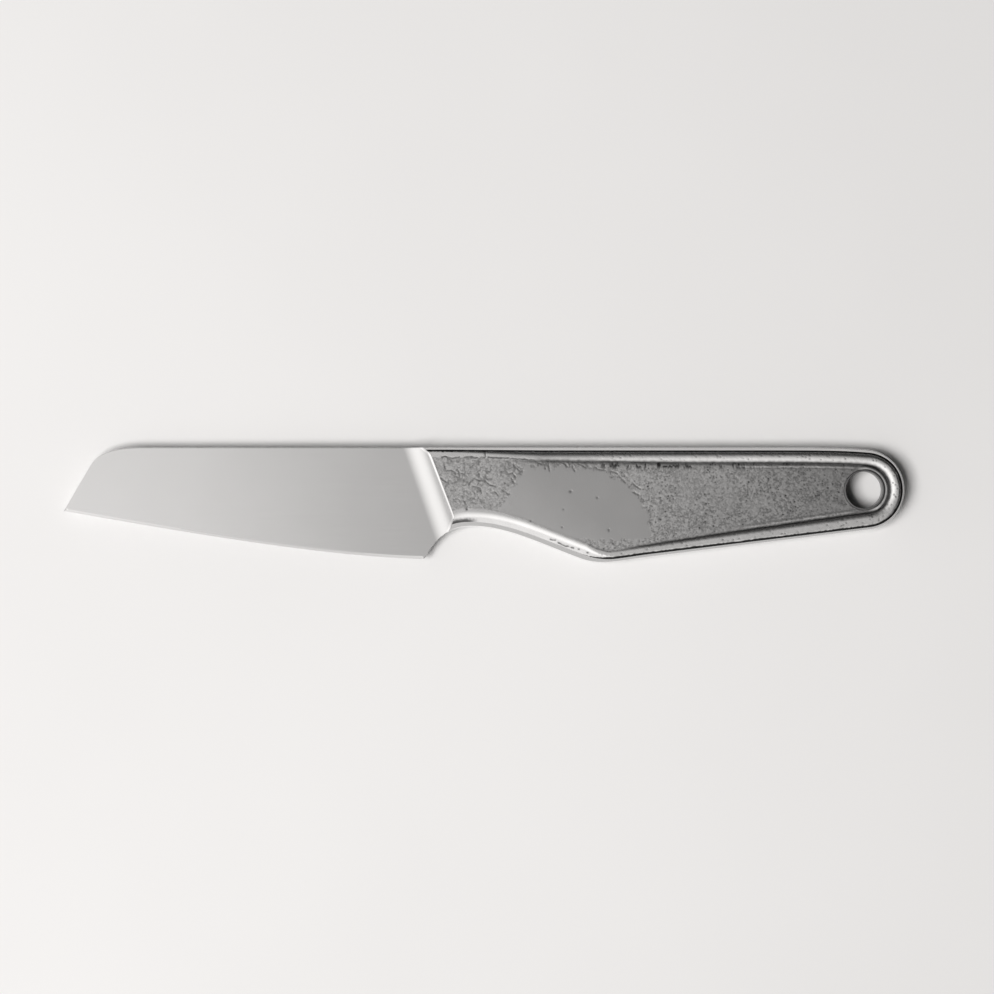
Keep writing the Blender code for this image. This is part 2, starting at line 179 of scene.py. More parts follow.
# The smooth patch in the middle of the panel, and the pits in it: (X, Y), and a radius for each pit
PATCH_CORNERS = (
    (118.6, -19.0), (119.6, -16.8), (121.3, -14.6), (122.3, -12.6), (123.6, -9.4), (126.4, -5.4),
    (137.2, -5.3), (146.8, -6.4), (153.0, -8.9), (156.6, -13.5), (159.9, -18.4), (160.6, -24.6),
    (154.0, -25.4), (145.6, -25.2), (141.4, -24.4), (138.0, -27.5), (128.0, -25.0),
)
PATCH_PITS = (
    (138.7, -12.1, 0.35), (146.0, -13.8, 0.3), (136.8, -16.9, 0.28), (149.2, -22.6, 0.33),
    (136.4, -21.7, 0.25), (127.9, -20.0, 0.25), (120.9, -9.8, 0.3), (121.8, -10.2, 0.3),
    (140.9, -27.9, 0.25), (143.3, -28.8, 0.3), (109.9, -8.8, 0.28), (113.2, -5.5, 0.28),
    (111.6, -5.4, 0.28), (108.9, -8.5, 0.28), (106.3, -3.6, 0.3),
)

# The main cracks in the forged skin, each from point to point
TOE_CRACKS = (
    ((103.6, -2.7), (104.6, -2.5), (105.4, -2.7), (106.1, -3.1), (107.4, -2.75), (108.4, -2.65)),
    ((109.8, -2.75), (110.9, -2.6), (113.3, -2.75)),
    ((116.3, -2.8), (118.3, -2.8), (123.4, -3.1), (127.3, -3.4), (129.0, -3.5), (131.0, -4.8)),
)
CRACKS = (
    ((115.4, -1.3), (115.4, -2.7), (114.2, -2.75), (113.7, -3.5), (113.8, -4.7)),
    ((114.2, -6.0), (113.7, -6.6)),
    ((113.8, -7.3), (113.9, -8.1)),
    ((104.3, -4.6), (104.5, -5.6), (104.7, -6.4), (106.0, -6.3), (107.5, -6.9)),
    ((107.8, -5.9), (108.4, -6.8), (108.5, -8.1)),
    ((103.3, -8.4), (105.2, -9.7)),
    ((110.9, -10.3), (112.4, -8.5), (114.1, -9.1), (115.4, -9.0), (116.1, -9.8), (118.2, -10.8)),
    ((112.2, -10.7), (113.9, -11.0), (114.3, -11.8)),
    ((116.0, -6.9), (116.9, -6.6), (117.0, -5.9)),
    ((116.0, -8.6), (117.4, -8.7)),
    ((118.0, -12.1), (119.0, -13.0)),
    ((120.3, -11.7), (122.1, -12.9)),
    ((109.6, -14.5), (110.3, -15.6), (110.4, -17.0)),
    ((123.1, -4.7), (124.0, -5.7), (124.6, -6.3), (125.5, -6.5)),
    ((122.8, -7.0), (123.8, -8.1)),
    ((122.6, -8.5), (123.4, -9.7)),
    ((131.0, -3.6), (131.2, -4.3), (131.7, -4.9), (131.8, -5.8)),
    ((132.6, -3.4), (132.8, -4.9), (133.0, -6.4)),
    ((129.5, -3.8), (130.8, -4.8)),
    ((135.0, -5.1), (136.0, -4.3)),
    ((137.1, -4.1), (137.8, -5.3)),
    ((139.2, -5.3), (139.9, -6.5)),
    ((141.0, -4.6), (142.9, -5.3)),
    ((145.5, -5.5), (146.7, -6.1), (148.2, -6.2)),
    ((149.6, -6.4), (151.5, -7.2)),
    ((151.9, -7.8), (153.6, -9.5)),
    ((154.7, -10.7), (155.8, -9.9), (157.5, -11.2)),
    ((155.9, -12.3), (157.3, -13.0)),
    ((158.6, -16.4), (159.6, -16.3)),
    ((133.1, -25.2), (134.6, -25.4)),
    ((135.3, -26.1), (137.2, -26.9), (138.2, -27.1)),
    ((138.8, -27.4), (139.5, -27.5)),
)

# Tones, from 0 for black to 1 for white, with the darkest first where there are two. The stretches draw a
# pattern out into lines.
# Painted sheen: the blade's tone runs lighter towards the tip and darker towards the heel
BLADE_SHEEN_TONE_AT_TIP = 0.88
BLADE_SHEEN_TONE_AT_HEEL = 0.63
BLADE_STRETCH = (60.0, 3000.0, 3000.0)
BEVEL_TONE = 0.64
# Painted shade: the strip's darker tone lies on the knife's lower half, the paler one along the spine
STRIP_TONES_SHADED_BELOW = (0.86, 1.0)
RIM_TONES = (0.73, 0.79)
PATCH_TONES = (0.575, 0.59)
FLAKES_TONE = 0.565
PEBBLES_TONE = 0.665
SPECKLE = 0.13
# Painted shade: the panel's tone is multiplied down to this towards the butt
SHADE_TONE_AT_BUTT = 0.55
# The tone of soot and of painted shade
SOOT_AND_SHADE_TONE = 0.03
# The tube's dark tones are painted shade that darkens the inside of the hanging hole
TUBE_SHADE_TONES = (0.18, 0.24)
TUBE_STRETCH = (200.0, 200.0, 6000.0)
DOWEL_TONES = (0.5, 0.58)
DOWEL_STRETCH = (3000.0, 3000.0, 100.0)
FLOOR_TONES = (0.8, 0.82)

# Light: lengths in metres, power in watts. A seen tone of 1 shows a metal's colour as it is written.
# The sky's settings are directions, and what runs from one value to another over them.
KEY_SIZE = (0.74, 0.64)
KEY_PLACE = (-0.57, -0.25, 1.33)
KEY_POWER = 21.4
LIGHT_TINT = (1.0, 0.98, 0.965)
SKY_BRIGHT_SIDE = (-0.8, -0.6, 0.0)
SKY_DARK_SIDE = (-0.6, 0.0, 0.04, 0.5)
SKY_SOFT_BOX = (-0.15, 0.7, 0.0, 0.95)
SKY_LOW_SHARE = (-0.1, 0.6, 0.5, 1.0)
SKY_FILL = (-0.3, 0.75, 0.0, 0.5)

# Stage, in metres, and the camera's lens in millimetres
FLOOR_HALF = 20.0
FLOOR_TOP = -0.00002
CAMERA_PLACE = (0.00362, 0.0022, 1.0055)
CAMERA_LENS = 132.5

SCALE_BASE = TANG_HALF + JOINT_GAP
PANEL_FLOOR = HANDLE_HALF - PANEL_DEPTH
SEAM = BOLSTER_LAND + SEAM_SHOWN
BOLSTER_X = EDGE_LENGTH + BOLSTER_SETBACK
SOCKET_RADIUS = HOLE_RADIUS + TUBE_WALL + JOINT_GAP


def vec(x, y):
    return np.array([x, y], float)


def heading(angle):
    return vec(math.cos(angle), math.sin(angle))


def on_circle(centre, radius, angles):
    return centre + radius * np.column_stack([np.cos(angles), np.sin(angles)])


TIP = vec(0.0, -TIP_DROP)
HEEL = vec(EDGE_LENGTH, -HEEL_DROP)
GROOVE = vec(EDGE_LENGTH + CHOIL_LENGTH, -GROOVE_DROP)
SLOPE_END = vec(GROOVE[0] + GROOVE_LENGTH, -SLOPE_DROP)
BELLY_END = vec(SLOPE_END[0] + BELLY_LENGTH, -BELLY_DROP)
BUTT_CENTRE = vec(BELLY_END[0] + LOWER_EDGE_LENGTH, -BUTT_TOP_DROP - BUTT_RADIUS)
OVERALL_LENGTH = BUTT_CENTRE[0] + BUTT_RADIUS
BOLSTER_BACK = heading(BOLSTER_SLANT)
BOLSTER_DOWN = heading(BOLSTER_SLANT - math.pi / 2)

# A rim's section, walked in from the outline: the bare strip's width, where the round ends and the level top
# begins, the round's two half-axes, where the top ends, the radius that rolls over from there, where that
# drops off to the panel's floor, and how wide the soot and painted shade at the rim's foot are
STRIP, TOP_FROM, ROUND_REACH, ROUND_DROP, TOP_TO, INNER_RADIUS, DROP_AT, SOOT_AND_SHADE_WIDTH = range(8)
BOLSTER_RIM = (0.0, 1.2, 1.2, 1.3, 2.6, 2.5, 4.1, 0.0)
STRIP_START_RIM = (0.65, 1.2, 0.55, 1.3, 2.6, 2.5, 4.1, 0.65)
SHOULDER_RIM = (0.65, 1.4, 0.75, 0.8, 2.6, 2.5, 4.1, 0.65)
GROWN_RIM = (0.85, 2.8, 1.95, 2.37, 2.85, 1.3, 3.65, 0.55)
SPINE_RIM = (0.85, 2.6, 1.75, 2.1, 2.6, 2.2, 4.25, 0.6)
BUTT_RIM = (0.62, 1.97, 1.35, 2.1, 2.25, 2.1, 4.15, 0.8)
LOWER_RIM = (0.8, 1.65, 0.85, 2.1, 3.2, 1.6, 4.7, 0.75)
BELLY_RIM = (0.9, 1.75, 0.85, 2.1, 2.55, 1.1, 3.65, 0.75)
SLOPE_RIM = (1.5, 4.2, 3.0, 4.2, 4.2, 1.4, 5.2, 0.0)
GROOVE_RIM = (1.25, 4.2, 3.28, 4.2, 5.0, 2.0, 6.0, 0.0)
CHOIL_RIM = (2.0, 4.6, 2.6, 2.37, 5.2, 2.0, 6.2, 0.0)


# The outline


def bezier(start, start_handle, end_handle, end, spacing=0.25):
    """Points of a cubic curve about a spacing apart, without its last point."""
    steps = max(2, round(float(np.linalg.norm(end - start)) / spacing))
    t = (np.arange(steps) / steps)[:, None]
    u = 1.0 - t
    return u**3 * start + 3 * u * u * t * start_handle + 3 * u * t * t * end_handle + t**3 * end


def straight(start, end, spacing=0.25):
    steps = max(1, round(float(np.linalg.norm(end - start)) / spacing))
    t = (np.arange(steps) / steps)[:, None]
    return start + t * (end - start)


def with_rim(points, start_rim, end_rim):
    """Rows of a point and its rim sizes, which change evenly along the points."""
    share = np.linspace(0.0, 1.0, len(points))[:, None]
    return np.hstack([points, (1.0 - share) * np.array(start_rim) + share * np.array(end_rim)])


def lower_edge_angle():
    across = BUTT_CENTRE - BELLY_END
    return math.atan2(across[1], across[0]) - math.asin(BUTT_RADIUS / np.linalg.norm(across))


def spine_run():
    """From the tip over the blade's spine to the bend in front of the butt, as rows for each stretch."""
    rise = TIP_DROP - TIP_CURVE_DROP
    curve_start = TIP + vec(rise / math.tan(TIP_ANGLE), rise)
    curve_end = vec(curve_start[0] + TIP_CURVE_LENGTH, 0.0)
    tip_curve = bezier(
        curve_start,
        curve_start + TIP_CURVE_REACH * heading(TIP_ANGLE),
        curve_end - vec(SPINE_CURVE_REACH, 0.0),
        curve_end,
    )
    shoulder = vec(BOLSTER_X + SHOULDER_LENGTH, 0.0)
    grown = shoulder + vec(BEAD_GROWTH_LENGTH, 0.0)
    full = grown + vec(TOE_FULL_LENGTH, 0.0)
    bend = vec(BUTT_CENTRE[0] - SPINE_BEND_LENGTH, 0.0)
    at_bolster = vec(BOLSTER_X + STRIP_START, 0.0)
    before = np.vstack([straight(TIP, curve_start), tip_curve, straight(curve_end, at_bolster)])
    return [
        with_rim(before, BOLSTER_RIM, BOLSTER_RIM),
        with_rim(straight(at_bolster, shoulder), STRIP_START_RIM, SHOULDER_RIM),
        with_rim(straight(shoulder, grown), SHOULDER_RIM, GROWN_RIM),
        with_rim(straight(grown, full), GROWN_RIM, SPINE_RIM),
        with_rim(straight(full, bend), SPINE_RIM, SPINE_RIM),
    ]


def butt_run():
    """The bend, the round butt and the straight lower edge up to the belly."""
    arc_start = BUTT_CENTRE + BUTT_RADIUS * heading(BUTT_START_ANGLE)
    arc_heading = heading(BUTT_START_ANGLE - math.pi / 2)
    bend_start = vec(BUTT_CENTRE[0] - SPINE_BEND_LENGTH, 0.0)
    meeting = arc_start - arc_heading * (arc_start[1] / arc_heading[1])
    bend = bezier(bend_start, bend_start + vec(SPINE_BEND_REACH, 0.0), meeting, arc_start)
    angles = np.linspace(BUTT_START_ANGLE, lower_edge_angle() - math.pi / 2, BUTT_POINTS)
    arc = on_circle(BUTT_CENTRE, BUTT_RADIUS, angles)
    quarter = len(arc) // 4
    return [
        with_rim(bend, SPINE_RIM, SPINE_RIM),
        with_rim(arc[:quarter], SPINE_RIM, BUTT_RIM),
        with_rim(arc[quarter:-quarter], BUTT_RIM, BUTT_RIM),
        with_rim(arc[-quarter:-1], BUTT_RIM, LOWER_RIM),
        with_rim(straight(arc[-1], BELLY_END), LOWER_RIM, BELLY_RIM),
    ]


def groove_run():
    """The belly, the slope, the finger groove and the choil down to the heel."""
    along_slope = heading(-SLOPE_ANGLE)
    belly = bezier(
        BELLY_END,
        BELLY_END - BELLY_BACK_REACH * heading(lower_edge_angle()),
        SLOPE_END + BELLY_FRONT_REACH * along_slope,
        SLOPE_END,
    )
    slope = bezier(
        SLOPE_END,
        SLOPE_END - SLOPE_REACH * along_slope,
        GROOVE + vec(GROOVE_BACK_REACH, 0.0),
        GROOVE,
    )
    choil = bezier(
        GROOVE,
        GROOVE - vec(GROOVE_FRONT_REACH, 0.0),
        HEEL + CHOIL_REACH * heading(CHOIL_ANGLE),
        HEEL,
        spacing=0.18,
    )
    half = len(belly) // 2
    return [
        with_rim(belly[:half], BELLY_RIM, BELLY_RIM),
        with_rim(belly[half:], BELLY_RIM, SLOPE_RIM),
        with_rim(slope, SLOPE_RIM, GROOVE_RIM),
        with_rim(choil, GROOVE_RIM, CHOIL_RIM),
    ]


def edge_run():
    edge = bezier(
        HEEL,
        HEEL - EDGE_HEEL_REACH * heading(-EDGE_HEEL_ANGLE),
        TIP + EDGE_TIP_REACH * heading(-EDGE_TIP_ANGLE),
        TIP,
    )
    return with_rim(edge, CHOIL_RIM, BOLSTER_RIM)


class Outline:
    """The whole knife's outline, walked clockwise with the spine up, and the rim sizes along it."""

    def __init__(self):
        runs = spine_run() + butt_run() + groove_run() + [edge_run()]
        rows = np.vstack(runs)
        self.points = rows[:, :2]
        self.sizes = rows[:, 2:]
        self.is_edge = np.arange(len(rows)) >= len(rows) - len(runs[-1])
        along = np.roll(self.points, -1, axis=0) - np.roll(self.points, 1, axis=0)
        along /= np.linalg.norm(along, axis=1)[:, None]
        self.inward = np.column_stack([along[:, 1], -along[:, 0]])
        self.tree = kdtree.KDTree(len(rows))
        for index, (x, y) in enumerate(self.points.tolist()):
            self.tree.insert((x, y, 0.0), index)
        self.tree.balance()

    def past_strip(self, distance):
        """Points at a distance past the bare strip's inner border."""
        return self.points + self.inward * (self.sizes[:, STRIP, None] + distance)

    def nearest(self, points):
        """How far points lie inside the outline, and the row of the nearest outline point."""
        row = np.array([self.tree.find((x, y, 0.0))[1] for x, y in points.tolist()])
        from_row = points - self.points[row]
        side = (from_row * self.inward[row]).sum(axis=1)
        gap = np.linalg.norm(from_row, axis=1)
        for step in (-1, 1):
            span = self.points[(row + step) % len(self.points)] - self.points[row]
            share = np.clip((from_row * span).sum(axis=1) / (span * span).sum(axis=1), 0.0, 1.0)
            gap = np.minimum(gap, np.linalg.norm(from_row - span * share[:, None], axis=1))
        return np.where(side < 0.0, -gap, gap), row


KNIFE = Outline()


def bolster_back(points):
    """How far points lie behind the bolster's slanting front line."""
    return (points - vec(BOLSTER_X, 0.0)) @ BOLSTER_BACK


def seam_back(points):
    """As bolster_back, but the line turns forward at its two ends, as the bolster's back edge does."""
    back = bolster_back(points)
    for x, y, angle in SEAM_CORNERS:
        turned = (points - vec(x, y)) @ heading(angle) + BOLSTER_LAND
        back = smooth_max(back, turned, CORNER_BLEND)
    return back


def hole_distance(points):
    return np.linalg.norm(points - BUTT_CENTRE, axis=1)


def hole_ring(radius, steps):
    return on_circle(BUTT_CENTRE, radius, np.linspace(0.0, 2.0 * math.pi, steps, endpoint=False))


# Heights


def smooth_min(a, b, blend):
    share = np.clip(0.5 + 0.5 * (b - a) / blend, 0.0, 1.0)
    return b + (a - b) * share - blend * share * (1.0 - share)


def smooth_max(a, b, blend):
    return -smooth_min(-a, -b, blend)


def smooth_step(low, high, values):
    t = np.clip((values - low) / (high - low), 0.0, 1.0)
    return t * t * (3.0 - 2.0 * t)


def rim_height(inside, sizes, steepest):
    """The rounded rim, from its foot up to the handle's face.

    Where the round gets as steep as the given slope, it runs straight down from there.
    """
    reach = sizes[:, ROUND_REACH]
    drop = sizes[:, ROUND_DROP]
    share = np.clip((sizes[:, TOP_FROM] - inside) / reach, 0.0, 1.0)
    ratio = steepest * reach / drop
    on_round = np.minimum(share, ratio / np.sqrt(1.0 + ratio * ratio))
    height = HANDLE_HALF - drop * (1.0 - np.sqrt(1.0 - on_round * on_round))
    height -= steepest * reach * (share - on_round)
    return np.maximum(height, SCALE_BASE + LEAST_RIM)


def panel_depth(points):
    """How deep the panel's floor lies below the handle's face, with the ramp behind the finger groove."""
    start = vec(GROOVE[0] + RAMP_SETBACK, -RAMP_DROP)
    run = (points - start) @ heading(math.pi / 2 - RAMP_TURN)
    ramp = smooth_max(run * math.tan(RAMP_SLOPE), 0.0, RAMP_BLEND)
    return smooth_min(ramp, PANEL_DEPTH, RAMP_BLEND)


def toe_distance(sizes, depth):
    """How far inside the outline the rim's inner side meets the panel's floor."""
    radius = sizes[:, INNER_RADIUS]
    drop = np.clip(depth, 0.0, radius)
    on_round = sizes[:, TOP_TO] + np.sqrt(2.0 * radius * drop - drop * drop)
    return np.minimum(on_round, sizes[:, DROP_AT] + TOE_PAST_DROP)


def face_height(inside, sizes, depth):
    """The handle's face: the rim's round, its inner side, and the sunk panel's floor."""
    radius = sizes[:, INNER_RADIUS]
    past_top = np.maximum(inside - sizes[:, TOP_TO], 0.0)
    past_drop = np.maximum(inside - sizes[:, DROP_AT], 0.0)
    on_round = np.minimum(past_top, INNER_ROUND_SHARE * radius)
    side = HANDLE_HALF - radius + np.sqrt(radius**2 - on_round**2)
    side -= TOE_WALL_SLOPE * (past_top - on_round + past_drop)
    panel = np.minimum(smooth_max(HANDLE_HALF - depth, side, TOE_BLEND), HANDLE_HALF)
    return np.minimum(rim_height(inside, sizes, SCALE_STEEPEST), panel)


def flank_height(points):
    thickening = (SPINE_THICKNESS_AT_HEEL - SPINE_THICKNESS_AT_TIP) / EDGE_LENGTH
    at_spine = SPINE_THICKNESS_AT_TIP + thickening * points[:, 0]
    fall = (SPINE_THICKNESS_AT_HEEL - EDGE_THICKNESS) / 2 / HEEL_DROP
    return at_spine / 2 + fall * points[:, 1]


def ground_height(points):
    """The ground flank, and the wheel's arc that sweeps up to the bolster's front line."""
    back = bolster_back(points)
    on_line = points - back[:, None] * BOLSTER_BACK
    start = flank_height(on_line)
    slope = flank_height(on_line + BOLSTER_BACK) - start
    stretch = 1.0 + slope * slope
    lift = start + WHEEL_RADIUS * np.sqrt(stretch) - HANDLE_HALF
    free = (lift * slope) ** 2 - stretch * (lift * lift - WHEEL_RADIUS**2)
    run = (lift * slope + np.sqrt(np.maximum(free, 0.0))) / stretch
    centre_height = HANDLE_HALF + lift - slope * run
    tangent_back = WHEEL_RADIUS * slope / np.sqrt(stretch) - run
    reach = np.clip(back + run, -WHEEL_RADIUS, WHEEL_RADIUS)
    swept = centre_height - np.sqrt(WHEEL_RADIUS**2 - reach * reach)
    return np.where(back < tangent_back, flank_height(points), swept)


def blade_height(points):
    """Half the thickness of the blade's forging: ground blade, bolster and tang."""
    inside, row = KNIFE.nearest(points)
    sizes = KNIFE.sizes[row].copy()
    sizes[:, ROUND_REACH] = sizes[:, TOP_FROM]
    on_bolster = seam_back(points) <= BOLSTER_LAND + STEP_WIDTH / 2
    ground = ground_height(points)
    crest = smooth_min(ground, rim_height(inside, sizes, BOLSTER_STEEPEST), CREST_BLEND)
    height = np.where(on_bolster, crest, np.minimum(ground, TANG_HALF))
    keen = KEEN_THICKNESS / 2
    bevel = keen + (height - keen) * np.clip(inside / EDGE_BEVEL_WIDTH, 0.0, 1.0)
    ease = np.minimum(EDGE_EASE, height / 3)
    short = np.clip(1.0 - inside / ease, 0.0, 1.0)
    eased = height - ease * (1.0 - np.sqrt(1.0 - short * short))
    return np.where(KNIFE.is_edge[row], bevel, eased)


# Forged skin


def bell(distance, half_width):
    """1 at no distance, falling off smoothly over the half width."""
    return np.exp(-((distance / half_width) ** 2))


def cross_fade(first, second, share):
    return first * (1.0 - share) + second * share


def noise_at(points, size, seed, octaves=1):
    """Smooth noise about 0, of the given feature size."""
    places = np.column_stack([points / size, np.full(len(points), seed * 7.31)]).tolist()
    if octaves == 1:
        return np.array([noise.noise(place) for place in places])
    return np.array([noise.fractal(place, 0.9, 2.1, octaves) for place in places])


def warped(points, size, amount, seed):
    """Points pushed about by noise, so that what is drawn on them has wandering borders."""
    push = np.column_stack([noise_at(points, size, seed), noise_at(points, size, seed + 1)])
    return points + amount * push


def cells_at(points, size, seed):
    """For each point: how far it is from its cell's middle, and the cell's own level."""
    places = np.column_stack([points / size, np.full(len(points), seed * 5.17)]).tolist()
    middle = np.empty(len(places))
    level = np.empty(len(places))
    for index, place in enumerate(places):
        distances, centres = noise.voronoi(place)
        middle[index] = distances[0] * size
        level[index] = math.sin(centres[0].x * 91.7 + centres[0].y * 47.3)
    return middle, level


def strokes(points, seed, size, half_width, number, share):
    """Short wandering strokes, 1 along their middles, and the raised lips beside them.

    The given share of the strokes is kept, and the number keeps one pattern apart from the others.
    """
    off = np.abs(noise_at(points, size, seed + number)) * size / (1.3 * half_width)
    gate = noise_at(points, 1.5 * size, seed + number + 0.5)
    kept = smooth_step(0.0, 0.12, gate - 0.8 * (0.5 - share))
    return bell(off, 1.0) * kept, bell(off - 2.0, 0.8) * kept


def pits(points, seed, size, radius, number, share):
    """Round pits, 1 in their middles, in the given share of cells."""
    middle, level = cells_at(points, size, seed + number)
    chosen = level > math.sin(math.pi * (0.5 - share))
    return np.where(chosen, bell(middle, radius), 0.0)


def segment_gap(points, start, span):
    """How far points lie from a straight segment."""
    share = np.clip((points - start) @ span / (span @ span), 0.0, 1.0)
    return np.linalg.norm(points - start - share[:, None] * span, axis=1)


def line_gap(points, lines):
    """How far points lie from the nearest of some lines."""
    gap = np.full(len(points), np.inf)
    for line in lines:
        for start, end in zip(line, line[1:]):
            gap = np.minimum(gap, segment_gap(points, vec(*start), vec(*end) - vec(*start)))
    return gap


def patch_inside(points):
    """How far points lie inside the smooth patch, negative outside it."""
    corners = np.array(PATCH_CORNERS)
    gap = np.full(len(points), np.inf)
    within = np.zeros(len(points), bool)
    for start, end in zip(corners, np.roll(corners, -1, axis=0)):
        span = end - start
        gap = np.minimum(gap, segment_gap(points, start, span))
        crosses = (start[1] > points[:, 1]) != (end[1] > points[:, 1])
        crossing_x = start[0] + (points[:, 1] - start[1]) * span[0] / span[1]
        within ^= crosses & (points[:, 0] < crossing_x)
    return np.where(within, gap, -gap)


class Face:
    """Points on a scale's upper face, with what the rim, the panel and the hole are like at each."""

    def __init__(self, points, seed):
        self.points = points
        self.seed = seed
        self.x = points[:, 0]
        self.y = points[:, 1]
        self.inside, row = KNIFE.nearest(points)
        self.sizes = KNIFE.sizes[row]
        self.towards_spine = np.clip(-KNIFE.inward[row, 1], 0.0, 1.0)
        self.depth = panel_depth(points)
        self.toe_at = toe_distance(self.sizes, self.depth)
        self.from_hole = hole_distance(points)
        facing = (points - BUTT_CENTRE) @ heading(LIP_MIDDLE) / np.maximum(self.from_hole, 0.1)
        self.lip_side = smooth_step(-0.1, 0.5, facing)
        self.on_lip = self.lip_side * (1.0 - smooth_step(LIP_CREST_RADIUS, LIP_FOOT_RADIUS, self.from_hole))
        self.in_rear = smooth_step(*PEBBLES_FROM_X, self.x)

    def noise(self, size, number, octaves=1):
        return noise_at(self.points, size, self.seed + number, octaves)

    def sunk(self, full_depth):
        """From 0 at the handle's face to 1 where the panel is sunk by the full depth."""
        return np.clip(self.depth / full_depth, 0.0, 1.0)


def plain_height(face):
    """The face before it is forged, with the lip that rises on one side of the hanging hole."""
    height = face_height(face.inside, face.sizes, face.depth)
    lip = HANDLE_HALF - face.depth + LIP_RISE * face.on_lip
    return np.where(face.from_hole < LIP_FOOT_RADIUS, np.maximum(height, lip), height)


def panel_share(face):
    """1 where the skin is left as forged: on the panel, but not on its rim or the hole's lip."""
    border = face.toe_at - 0.25 * face.sunk(0.4)
    past_border = face.inside - border + 0.25 * face.noise(1.0, 0)
    return smooth_step(-0.15, 0.25, past_border) * (1.0 - face.on_lip)


def patch_share(face):
    """1 on the smooth patch, whose border is ragged."""
    ragged = 0.9 * face.noise(2.6, 2, 3) + 0.5 * face.noise(0.9, 3)
    return smooth_step(-0.2, 0.2, patch_inside(face.points) + ragged)


def skin_marks(face, patch):
    """The skin's small dark marks, 1 at their deepest, and the raised lips beside them.

    Flakes lie in front of the smooth patch and finer pebbles behind it. Drips run down from the spine.
    """
    bent = warped(warped(face.points, 1.3, 0.4, face.seed + 4), 0.5, 0.16, face.seed + 18)
    coarse, coarse_lip = strokes(bent, face.seed, *COARSE_STROKES)
    fine, fine_lip = strokes(bent, face.seed, *FINE_STROKES)
    small, small_lip = strokes(bent, face.seed, *SMALL_STROKES)
    dots = pits(face.points, face.seed, *DOTS)
    small_dots = pits(face.points, face.seed, *SMALL_DOTS)
    flakes = np.maximum.reduce([0.8 * coarse, 0.75 * fine, dots])
    pebbles = np.maximum.reduce([0.2 * coarse, 0.5 * small, small_dots, 1.3 * dots])
    calm = 1.0 - (0.7 - 0.35 * face.in_rear) * smooth_step(0.12, 0.3, face.noise(4.5, 5))
    marks = cross_fade(flakes, pebbles, face.in_rear) * calm
    lips = cross_fade(np.maximum(coarse_lip, fine_lip), small_lip, face.in_rear) * calm
    drips, _ = strokes(face.points * DRIP_STRETCH, face.seed, *DRIPS)
    drips = drips * smooth_step(*DRIPS_ABOVE_Y, face.y) * smooth_step(*DRIPS_FROM_X, face.x)
    marks = np.maximum(marks, drips * (1.0 - 0.7 * patch)) * (1.0 - patch * (1.0 - drips))
    return marks, lips


def skin_relief(face, patch, marks, lips):
    """How far the forged skin lies above the plain face, negative below it."""
    swell = 0.012 * face.noise(2.8, 12)
    swell += (0.024 - 0.006 * face.in_rear) * face.noise(0.8, 13, 3)
    return (swell + MARK_LIP_HEIGHT * lips) * (1.0 - patch) - MARK_DEPTH * marks - SKIN_DROP


def toe_ridge(face):
    """The raised lip that runs along the toe in the rear half, 1 on its crest, and the trough beside it."""
    from_ridge = face.inside - face.toe_at - RIDGE_PAST_TOE + 0.12 * face.noise(1.2, 20, 2)
    along = smooth_step(*RIDGE_FROM_X, face.x)
    uneven = (0.75 + 0.6 * face.noise(3.0, 21)) * (face.from_hole > LIP_FOOT_RADIUS)
    ridge = bell(from_ridge, RIDGE_HALF_WIDTH) * along * uneven
    trough = bell(from_ridge - TROUGH_PAST_RIDGE, TROUGH_HALF_WIDTH) * along
    return ridge, trough


def placed_cracks(face):
    """The listed cracks and pits, 1 along their middles."""
    points = warped(face.points, 0.7, 0.2, face.seed + 23)
    gap = line_gap(points, CRACKS) / CRACK_HALF_WIDTH
    gap = np.minimum(gap, line_gap(points, TOE_CRACKS) / TOE_CRACK_HALF_WIDTH)
    for x, y, radius in PATCH_PITS:
        gap = np.minimum(gap, np.linalg.norm(points - vec(x, y), axis=1) / radius)
    return bell(gap, 1.0) * (0.9 + 0.5 * face.noise(0.8, 14))


def foot_soot_and_shade(face):
    """Soot and painted shade in the rim's foot crease, broader where the finger groove meets the bolster."""
    raggedness = 0.36 - 0.2 * smooth_step(*EVEN_FOOT_FROM_X, face.x)
    past_strip = face.inside - face.sizes[:, STRIP] + raggedness * face.noise(0.7, 16, 2)
    width = np.maximum(face.sizes[:, SOOT_AND_SHADE_WIDTH], 0.01)
    # Soot and painted shade in the crease at the rim's foot
    crease = 1.0 - smooth_step(0.65 * width, 1.15 * width, past_strip)
    crease *= face.sizes[:, SOOT_AND_SHADE_WIDTH] > 0.0
    # Painted shade on the bead's lower side by the choil
    in_choil = (1.0 - smooth_step(*CHOIL_SHADE_TO_X, face.x)) * (face.y < CHOIL_TOP)
    return np.maximum(crease, 0.85 * in_choil * (1.0 - smooth_step(0.4, 1.3, past_strip)))


def toe_soot_and_shade(face, on_panel):
    """Soot and painted shade along the panel's toe, and a faint painted shade past it near the spine."""
    from_toe = face.inside - face.toe_at - 0.05 + 0.2 * face.noise(0.9, 17)
    rim_side = 0.35 + 0.45 * face.towards_spine
    panel_side = 0.4 + 0.35 * face.towards_spine
    # Soot and painted shade in the corner at the toe
    toe = bell(from_toe, np.where(from_toe < 0.0, rim_side, panel_side)) * face.sunk(0.3)
    shade = bell(from_toe, 1.5) * (from_toe > 0.0) * face.sunk(0.6)
    shade *= smooth_step(*SHADE_ABOVE_Y, face.y)
    return np.maximum(0.8 * toe, 0.3 * shade * on_panel)


def hole_soot_and_shade(face):
    """Soot and painted shade round the foot of the hole's lip and at the hole's edge."""
    foot = bell(face.from_hole - LIP_FOOT_RADIUS - 0.15, 0.25) * face.lip_side
    edge = 1.0 - smooth_step(*HOLE_SOOT_AND_SHADE_TO_RADIUS, face.from_hole)
    return np.maximum(0.75 * foot, 0.8 * edge * (0.25 + 0.75 * face.lip_side))


